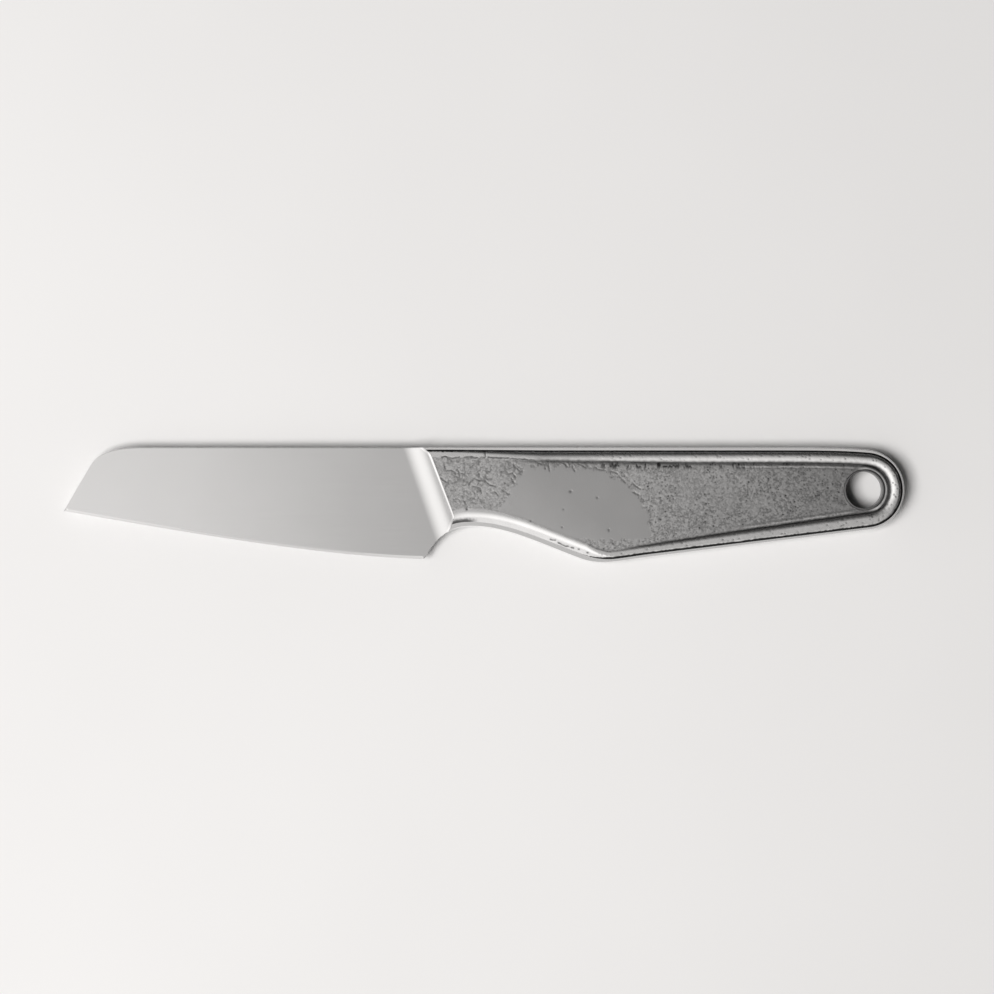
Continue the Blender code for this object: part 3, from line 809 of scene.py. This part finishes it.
def forged_skin(points, seed, has_placed_cracks):
    """Heights of a scale's upper face, and how forged, smooth, sooty and painted in shade each point is."""
    face = Face(points, seed)
    on_panel = panel_share(face)
    patch = patch_share(face)
    marks, lips = skin_marks(face, patch)
    height = plain_height(face) + on_panel * skin_relief(face, patch, marks, lips)
    ridge, trough = toe_ridge(face)
    height += RIDGE_HEIGHT * ridge
    on_panel *= 1.0 - 0.75 * np.clip(ridge, 0.0, 1.0)
    cracks = placed_cracks(face) if has_placed_cracks else np.zeros(len(points))
    height -= CRACK_DEPTH * cracks
    crest = (face.inside > face.sizes[:, STRIP] + 0.8) * (1.0 - on_panel) * smooth_step(*NICKS_FROM_X, face.x)
    nicks = pits(points, seed, *NICKS) * crest
    height += 0.015 * face.noise(1.0, 22, 2) * crest - NICK_DEPTH * nicks
    # Soot in marks, cracks, trough and nicks; soot and painted shade at the rim's foot, the toe and the hole
    soot_and_shade = np.maximum.reduce(
        [
            on_panel * np.minimum((0.5 + 0.5 * face.in_rear) * marks, 1.0),
            (0.85 - 0.33 * on_panel) * np.clip(1.2 * cracks, 0.0, 1.0),
            0.5 * trough,
            0.7 * nicks,
            foot_soot_and_shade(face),
            toe_soot_and_shade(face, on_panel),
            hole_soot_and_shade(face),
        ]
    )
    values = {"panel": on_panel, "patch": patch * on_panel, "soot_and_shade": np.clip(soot_and_shade, 0.0, 1.0)}
    return np.minimum(height, HANDLE_HALF), values


# Meshes


def to_row(points, heights, side):
    """Metres in the CAD frame, from millimetres on the knife's own plane."""
    middle = (KNIFE.points[:, 1].max() + KNIFE.points[:, 1].min()) / 2
    places = np.column_stack(
        [points[:, 0] - OVERALL_LENGTH / 2, points[:, 1] - middle, HANDLE_HALF + side * heights]
    )
    return places / 1000.0


def triangulated(points, loop_length, hole_radius):
    """Triangles over points, inside the clockwise loop of their first rows and outside the hole."""
    places = [Vector(point) for point in points.tolist()]
    loop = list(range(loop_length))[::-1]
    _, _, faces, origins, _, _ = delaunay_2d_cdt(places, [], [loop], 1, 1e-6)
    first = np.array([rows[0] for rows in origins])
    faces = first[np.array(faces)]
    centres = points[faces].mean(axis=1)
    return faces[hole_distance(centres) > hole_radius * 0.9995]


def border_edges(faces):
    """The border edges of triangles, each in the direction in which its triangle walks it."""
    edges = np.vstack([faces[:, [0, 1]], faces[:, [1, 2]], faces[:, [2, 0]]])
    _, first, counts = np.unique(np.sort(edges, axis=1), axis=0, return_index=True, return_counts=True)
    return edges[first[counts == 1]]


def walls_between(edges, below):
    """Triangles that close border edges down to the points below them."""
    start, end = edges[:, 0], edges[:, 1]
    upper = np.column_stack([end, start, below[start]])
    lower = np.column_stack([end, below[start], below[end]])
    return np.vstack([upper, lower])


def in_scene(name, data):
    """A new object of the scene, from its mesh, light or camera."""
    thing = bpy.data.objects.new(name, data)
    bpy.context.scene.collection.objects.link(thing)
    return thing


def mesh_object(name, places, faces, values, sharp_angle):
    """A mesh object from metres, triangles and named values for each point."""
    used = np.unique(faces)
    renumber = np.zeros(len(places), int)
    renumber[used] = np.arange(len(used))
    mesh = bpy.data.meshes.new(name)
    mesh.from_pydata(places[used].tolist(), [], renumber[faces].tolist())
    for key, levels in values.items():
        layer = mesh.attributes.new(key, "FLOAT", "POINT")
        layer.data.foreach_set("value", levels[used].astype(np.float32))
    mesh.shade_smooth()
    mesh.set_sharp_from_angle(angle=sharp_angle)
    return in_scene(name, mesh)


def staggered_grid(low, high, spacing):
    rows = np.arange(low[1], high[1], spacing * 0.866)
    x, y = np.meshgrid(np.arange(low[0], high[0], spacing), rows)
    x = x + np.where(np.arange(len(rows)) % 2, spacing / 2, 0.0)[:, None]
    return np.column_stack([x.ravel(), y.ravel()])


def rings_inside(steps, chosen):
    """Rings of points at distances inside the outline, along its chosen rows."""
    return np.vstack([(KNIFE.points + KNIFE.inward * step)[chosen] for step in steps])


def rings_past_strip(steps, chosen):
    """The same, at distances past the bare strip's inner border."""
    return np.vstack([KNIFE.past_strip(step)[chosen] for step in steps])


def slanting_lines(backs, spacing):
    """Points along lines parallel to the bolster's front, at distances behind it."""
    down = np.arange(-2.0, 36.0, spacing)[:, None] * BOLSTER_DOWN
    return np.vstack([vec(BOLSTER_X, 0.0) + back * BOLSTER_BACK + down for back in backs])


def turned_to_seam(points, backs):
    """Points moved along the bolster's length until they lie at the given seam_back distances."""
    for _ in range(12):
        points = points - (seam_back(points) - backs)[:, None] * BOLSTER_BACK
    return points


def seam_lines(backs, spacing):
    points = slanting_lines(backs, spacing)
    return turned_to_seam(points, bolster_back(points))


def make_blade():
    """The forging of blade, bolster and tang, the same on both sides."""
    back = bolster_back(KNIFE.points)
    beside_bolster = (back > -9.5) & (back < 1.5) & ~KNIFE.is_edge
    ease_steps = (0.01, 0.04, 0.08, 0.13, 0.19, EDGE_EASE, 0.27, 0.35)
    bevel_steps = (0.4, EDGE_BEVEL_WIDTH, EDGE_BEVEL_WIDTH + 0.05, 1.1)
    rim_steps = (-STEP_WIDTH, 0.0, 0.02, 0.06, 0.12, 0.2, 0.3, 0.42, 0.56, 0.72, 0.9)
    rings = [
        rings_inside(ease_steps, ~KNIFE.is_edge),
        rings_inside(np.arange(0.5, 3.0, 0.2), beside_bolster),
        rings_inside(bevel_steps, KNIFE.is_edge),
        rings_past_strip((*rim_steps, *np.arange(1.1, 5.0, 0.2)), beside_bolster),
    ]
    seam_backs = (-0.62, -0.5, -0.38, -0.28, -0.2, -0.12, -0.06, 0.0, 0.06, 0.13, 0.22, 0.3)
    seam = seam_lines(seam_backs + (BOLSTER_LAND, BOLSTER_LAND + STEP_WIDTH), 0.1)
    seam = seam[KNIFE.nearest(seam)[0] > 0.02]
    lines = slanting_lines(np.arange(-8.0, -0.5, 0.25), 0.5)
    lines = np.vstack([lines, staggered_grid((1.0, -31.0), (OVERALL_LENGTH, 0.0), 3.0)])
    lines = lines[KNIFE.nearest(lines)[0] > 1.0]
    hole = [hole_ring(SOCKET_RADIUS, 96), hole_ring(SOCKET_RADIUS + 0.5, 48)]
    inner = np.vstack(rings + [seam, lines] + hole)
    apart = (KNIFE.nearest(inner)[0] > 0.005) & (hole_distance(inner) > SOCKET_RADIUS - 1e-6)
    points = np.vstack([KNIFE.points, inner[apart]])
    faces = triangulated(points, len(KNIFE.points), SOCKET_RADIUS)
    heights = blade_height(points)
    count = len(points)
    places = np.vstack([to_row(points, heights, side) for side in (1.0, -1.0)])
    walls = walls_between(border_edges(faces), np.arange(count) + count)
    every_face = np.vstack([faces, faces[:, ::-1] + count, walls])
    back = seam_back(points)
    on_land = 0.5 * smooth_step(-0.35, -0.05, back)
    tang = np.where(back > BOLSTER_LAND + STEP_WIDTH / 2, 1.0, on_land)
    inside, row = KNIFE.nearest(points)
    bevel = (KNIFE.is_edge[row] & (inside < EDGE_BEVEL_WIDTH + 0.02)).astype(float)
    values = {"tang": np.tile(tang, 2), "bevel": np.tile(bevel, 2)}
    return mesh_object("blade_forging", places, every_face, values, BLADE_SHARP)


def scale_outline():
    """The foot of the scale's rim, closed along the bolster's back. It is clockwise, as the knife is."""
    foot = KNIFE.past_strip(0.0)
    back = seam_back(foot) - SEAM
    behind = np.flatnonzero(back > 0.0)
    start, end = behind[0], behind[-1]
    crossings = []
    for row, beyond in ((start, start - 1), (end, end + 1)):
        share = back[row] / (back[row] - back[beyond])
        crossings.append(foot[row] + (foot[beyond] - foot[row]) * share)
    first, last = crossings
    front = straight(last, first, 0.12)
    front[1:] = turned_to_seam(front[1:], SEAM)
    return np.vstack([first, foot[start + 1 : end], front])


def make_scale(word, side, seed, spacing, has_placed_cracks):
    """One forged scale, its face a height field over a flat underside."""
    loop = scale_outline()
    steps = (0.015, 0.05, 0.1, 0.17, 0.26, 0.37, 0.5, *np.arange(0.64, 4.4, 0.15))
    behind = bolster_back(KNIFE.points) > -6.0
    grid = staggered_grid((BOLSTER_X, -30.0), (OVERALL_LENGTH, 0.0), spacing)
    inside, row = KNIFE.nearest(grid)
    grid = grid[inside > KNIFE.sizes[row, STRIP] + steps[-1] + spacing / 2]
    seam_rows = seam_lines((SEAM + 0.03, SEAM + 0.1, SEAM + 0.22), 0.15)
    inner = np.vstack([rings_past_strip(steps, behind & ~KNIFE.is_edge), grid, seam_rows])
    inner = inner[hole_distance(inner) > LIP_FOOT_RADIUS + 0.1]
    hole_rows = [hole_ring(radius, HOLE_POINTS) for radius in (SOCKET_RADIUS, *HOLE_RINGS)]
    inner = np.vstack(hole_rows + [inner])
    inside, row = KNIFE.nearest(inner)
    inner = inner[(seam_back(inner) > SEAM + 0.01) & (inside > KNIFE.sizes[row, STRIP] + 0.01)]
    points = np.vstack([loop, inner])
    faces = triangulated(points, len(loop), SOCKET_RADIUS)
    heights, values = forged_skin(points, seed, has_placed_cracks)
    values["soot_and_shade"][: len(loop)] = 0.0

    # The underside has only the border's points
    borders = border_edges(faces)
    rim_rows = np.concatenate([np.arange(len(loop)), np.unique(borders[borders[:, 0] >= len(loop)])])
    flat_faces = triangulated(points[rim_rows], len(loop), SOCKET_RADIUS)
    below = np.zeros(len(points), int)
    below[rim_rows] = len(points) + np.arange(len(rim_rows))
    base = np.full(len(rim_rows), SCALE_BASE)
    places = np.vstack([to_row(points, heights, side), to_row(points[rim_rows], base, side)])
    underside = flat_faces[:, ::-1] + len(points)
    every_face = np.vstack([faces, underside, walls_between(borders, below)])
    if side < 0:
        every_face = every_face[:, ::-1]
    values = {key: np.concatenate([level, level[rim_rows]]) for key, level in values.items()}
    return mesh_object(f"{word}_scale_skin", places, every_face, values, SCALE_SHARP)


def make_liner():
    """The tube that lines the hanging hole, with both ends rounded over."""
    half = PANEL_FLOOR + TUBE_LIP
    outer = HOLE_RADIUS + TUBE_WALL
    upper = []
    for turn in np.linspace(0.0, math.pi / 2, 5):
        in_by = TUBE_ROUND * (1.0 - math.sin(turn))
        down_by = TUBE_ROUND * (1.0 - math.cos(turn))
        upper.insert(0, (outer - in_by, half - down_by))
        upper.append((HOLE_RADIUS + in_by, half - down_by))
    profile = upper + [(radius, -height) for radius, height in upper[::-1]]
    points = np.vstack([hole_ring(radius, TUBE_POINTS) for radius, _ in profile])
    heights = np.repeat([height for _, height in profile], TUBE_POINTS)
    this = np.arange(TUBE_POINTS)
    beside = (this + 1) % TUBE_POINTS
    faces = []
    for level in range(len(profile)):
        here = level * TUBE_POINTS
        after = (level + 1) % len(profile) * TUBE_POINTS
        faces.append(np.column_stack([here + this, after + this, after + beside]))
        faces.append(np.column_stack([here + this, after + beside, here + beside]))
    places = to_row(points, heights, 1.0)
    return mesh_object("hole_liner", places, np.vstack(faces), {}, TUBE_SHARP)


# Materials


class Nodes:
    """Short calls for building a node tree."""

    def __init__(self, tree):
        self.tree = tree

    def feed(self, socket, value):
        if isinstance(value, bpy.types.NodeSocket):
            self.tree.links.new(value, socket)
        else:
            socket.default_value = value

    def add(self, kind, inputs, **settings):
        """The outputs of a new node, which has these settings and inputs."""
        node = self.tree.nodes.new("ShaderNode" + kind)
        for key, value in settings.items():
            setattr(node, key, value)
        for key, value in inputs.items():
            self.feed(node.inputs[key], value)
        return node.outputs

    def math(self, operation, first, second):
        return self.add("Math", {0: first, 1: second}, operation=operation)[0]

    def between(self, value, low, high, to_low, to_high):
        """A value from low to high as one from to_low to to_high, with soft ends."""
        span = {"Value": value, "From Min": low, "From Max": high, "To Min": to_low, "To Max": to_high}
        return self.add("MapRange", span, interpolation_type="SMOOTHSTEP")["Result"]

    def varied(self, pattern, to_low, to_high):
        """A noise pattern's usual span as one from to_low to to_high."""
        return self.between(pattern, 0.3, 0.7, to_low, to_high)

    def mix(self, share, first, second):
        return self.add("Mix", {0: share, 2: first, 3: second}, data_type="FLOAT")[0]

    def noise(self, place, scale, detail=3.0, roughness=0.55):
        inputs = {"Vector": place, "Scale": scale, "Detail": detail, "Roughness": roughness}
        return self.add("TexNoise", inputs)["Fac"]

    def stretched(self, place, scale):
        return self.add("Mapping", {"Vector": place, "Scale": scale})["Vector"]

    def part(self, place, axis):
        return self.add("SeparateXYZ", {0: place})[axis]

    def level(self, name):
        return self.add("Attribute", {}, attribute_name=name)["Fac"]

    def colour(self, red, green, blue):
        return self.add("CombineColor", {0: red, 1: green, 2: blue})[0]

    def grey(self, value):
        return self.colour(value, value, value)

    def bump(self, height, distance, strength=1.0):
        return self.add("Bump", {"Height": height, "Distance": distance, "Strength": strength})["Normal"]

    def shade(self, inputs):
        for key, value in inputs.items():
            self.feed(self.tree.nodes["Principled BSDF"].inputs[key], value)


def new_material(name, metallic):
    """A material, its node helper and its object coordinates."""
    material = bpy.data.materials.new(name)
    material.use_nodes = True
    nodes = Nodes(material.node_tree)
    nodes.shade({"Metallic": metallic})
    return material, nodes, nodes.add("TexCoord", {})["Object"]


def ground_steel():
    """Satin steel, ground lengthwise in fine lines, with a coarser and paler grind on the tang's strip."""
    material, nodes, place = new_material("ground_steel", 1.0)
    tang = nodes.level("tang")
    lines = nodes.noise(nodes.stretched(place, BLADE_STRETCH), 1.0, 4.0, 0.6)
    cloud = nodes.noise(place, 45.0)
    along = nodes.part(place, "X")
    # Painted sheen, lighter towards the tip and darker towards the heel
    tone = nodes.between(along, -0.1, -0.005, BLADE_SHEEN_TONE_AT_TIP, BLADE_SHEEN_TONE_AT_HEEL)
    tone = nodes.math("ADD", tone, nodes.varied(cloud, -0.008, 0.008))
    tone = nodes.math("ADD", tone, nodes.varied(lines, -0.006, 0.006))
    tone = nodes.mix(nodes.level("bevel"), tone, BEVEL_TONE)
    # Painted shade: the tang's strip is darker on the knife's lower half than along the spine
    tang_tone_shaded_below = nodes.between(nodes.part(place, "Y"), 0.0, 0.012, *STRIP_TONES_SHADED_BELOW)
    rough = nodes.mix(tang, nodes.varied(cloud, 0.19, 0.21), 0.22)
    nodes.shade({"Base Color": nodes.grey(nodes.mix(tang, tone, tang_tone_shaded_below))})
    nodes.shade({"Roughness": rough, "Normal": nodes.bump(lines, 0.0000015)})
    return material


def forged_steel():
    """A polished rim round a dark forged skin, with soot in its cracks and painted shade in its creases."""
    material, nodes, place = new_material("forged_steel", 1.0)
    panel = nodes.level("panel")
    patch = nodes.level("patch")
    soot_and_shade = nodes.level("soot_and_shade")
    cloud = nodes.noise(place, 160.0, 4.0)
    speck = nodes.noise(place, 2200.0, 4.0, 0.65)
    along = nodes.part(place, "X")
    # Painted shade that darkens the panel towards the butt
    butt_shade = nodes.between(along, 0.035, 0.105, 1.0, SHADE_TONE_AT_BUTT)
    rim_tone = nodes.varied(cloud, *RIM_TONES)
    speck_tone = nodes.varied(speck, -SPECKLE, SPECKLE)
    speck_tone = nodes.math("MULTIPLY", speck_tone, nodes.between(along, 0.015, 0.035, 1.0, 0.75))
    skin_tone = nodes.between(along, 0.015, 0.045, FLAKES_TONE, PEBBLES_TONE)
    skin_tone = nodes.math("ADD", skin_tone, speck_tone)
    patch_tone = nodes.varied(cloud, *PATCH_TONES)
    panel_tone = nodes.math("MULTIPLY", nodes.mix(patch, skin_tone, patch_tone), butt_shade)
    tone = nodes.mix(panel, rim_tone, panel_tone)
    # Soot and painted shade darken the colour
    nodes.shade({"Base Color": nodes.grey(nodes.mix(soot_and_shade, tone, SOOT_AND_SHADE_TONE))})
    nodes.shade({"Specular Tint": nodes.grey(nodes.mix(soot_and_shade, 1.0, 0.05))})
    skin_rough = nodes.mix(patch, nodes.varied(speck, 0.3, 0.4), 0.33)
    rough = nodes.mix(panel, 0.24, skin_rough)
    nodes.shade({"Roughness": nodes.mix(soot_and_shade, rough, 0.6), "Normal": nodes.bump(speck, 0.000008, 0.5)})
    return material


def lined_steel(name, stretch, tones):
    """Plain steel with fine lines, turned or drawn as its pattern is stretched."""
    material, nodes, place = new_material(name, 1.0)
    lines = nodes.noise(nodes.stretched(place, stretch), 1.0)
    nodes.shade({"Base Color": nodes.grey(nodes.varied(lines, *tones))})
    nodes.shade({"Roughness": nodes.varied(lines, 0.32, 0.4), "Normal": nodes.bump(lines, 0.000005)})
    return material


def floor_paint():
    material, nodes, place = new_material("pale_floor", 0.0)
    nodes.shade({"Base Color": nodes.grey(nodes.varied(nodes.noise(place, 6.0), *FLOOR_TONES))})
    nodes.shade({"Roughness": 0.9, "Specular IOR Level": 0.1})
    return material


# The stage


def make_floor():
    turns = ((-1, -1), (1, -1), (1, 1), (-1, 1))
    corners = [(x * FLOOR_HALF, y * FLOOR_HALF, FLOOR_TOP) for x, y in turns]
    mesh = bpy.data.meshes.new("floor")
    mesh.from_pydata(corners, [], [(0, 1, 2, 3)])
    mesh.materials.append(floor_paint())
    return in_scene("floor", mesh)


def make_key_light():
    """A soft box up to the lower left, steep enough for a short shadow above the spine.

    Metal sees the sky's own soft box in its place, which is as wide and even as a studio's.
    """
    light = bpy.data.lights.new("key_light", "AREA")
    light.shape = "RECTANGLE"
    light.size, light.size_y = KEY_SIZE
    light.energy = KEY_POWER
    light.color = LIGHT_TINT
    holder = in_scene("key_light", light)
    holder.location = KEY_PLACE
    holder.rotation_euler = (-holder.location).to_track_quat("-Z", "Y").to_euler()
    holder.visible_glossy = False


def make_sky():
    """A pale studio, bright towards the soft box's side and dark on the other, with a dimmer fill light."""
    world = bpy.data.worlds.new("studio")
    world.use_nodes = True
    bpy.context.scene.world = world
    nodes = Nodes(world.node_tree)
    direction = nodes.add("TexCoord", {})["Generated"]
    side = nodes.add("VectorMath", {0: direction, 1: SKY_BRIGHT_SIDE}, operation="DOT_PRODUCT")["Value"]
    seen_tone = nodes.math("ADD", nodes.between(side, *SKY_DARK_SIDE), nodes.between(side, *SKY_SOFT_BOX))
    low_share = nodes.between(nodes.part(direction, "Z"), *SKY_LOW_SHARE)
    seen_tone = nodes.math("MULTIPLY", seen_tone, low_share)
    path = nodes.add("LightPath", {})
    mirrored = nodes.math("LESS_THAN", path["Diffuse Depth"], 0.5)
    mirrored = nodes.math("MULTIPLY", path["Is Glossy Ray"], mirrored)
    seen = nodes.math("MAXIMUM", path["Is Camera Ray"], mirrored)
    seen = nodes.math("MAXIMUM", seen, path["Is Transmission Ray"])
    tone = nodes.mix(seen, nodes.between(side, *SKY_FILL), seen_tone)
    tinted = [nodes.math("MULTIPLY", tone, share) for share in LIGHT_TINT]
    nodes.feed(nodes.tree.nodes["Background"].inputs["Color"], nodes.colour(*tinted))


def make_camera():
    """Straight above the knife, with its face at the scale that the photograph has."""
    camera = bpy.data.cameras.new("camera")
    camera.lens = CAMERA_LENS
    camera.sensor_width = 36.0
    camera.clip_end = 100.0
    holder = in_scene("camera", camera)
    holder.location = CAMERA_PLACE
    bpy.context.scene.camera = holder


def main():
    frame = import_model()
    bpy.context.scene.view_settings.view_transform = "Standard"
    forged = forged_steel()
    # The liner's dark tones are painted shade inside the hanging hole
    tube_finish = lined_steel("tube_steel", TUBE_STRETCH, TUBE_SHADE_TONES)
    dowel_finish = lined_steel("dowel_steel", DOWEL_STRETCH, DOWEL_TONES)
    blade = make_blade()
    left = make_scale("left", side=1.0, seed=3.0, spacing=0.2, has_placed_cracks=True)
    right = make_scale("right", side=-1.0, seed=11.0, spacing=0.24, has_placed_cracks=False)
    dressed = [
        (blade, ground_steel(), "blade", "ground_steel"),
        (left, forged, "left_scale", "forged_steel"),
        (right, forged, "right_scale", "forged_steel"),
        (make_liner(), tube_finish, "hanging_hole_tube", "tube_steel"),
    ]
    for piece, material, node, slot in dressed:
        piece.data.materials.append(material)
        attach(piece, "root")
        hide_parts(node)
    for name in ("front_dowel", "spine_dowel", "belly_dowel"):
        dowel = frame["nodes"][name]
        dowel.data.materials.clear()
        dowel.data.materials.append(dowel_finish)
    make_floor()
    make_key_light()
    make_sky()
    make_camera()


main()
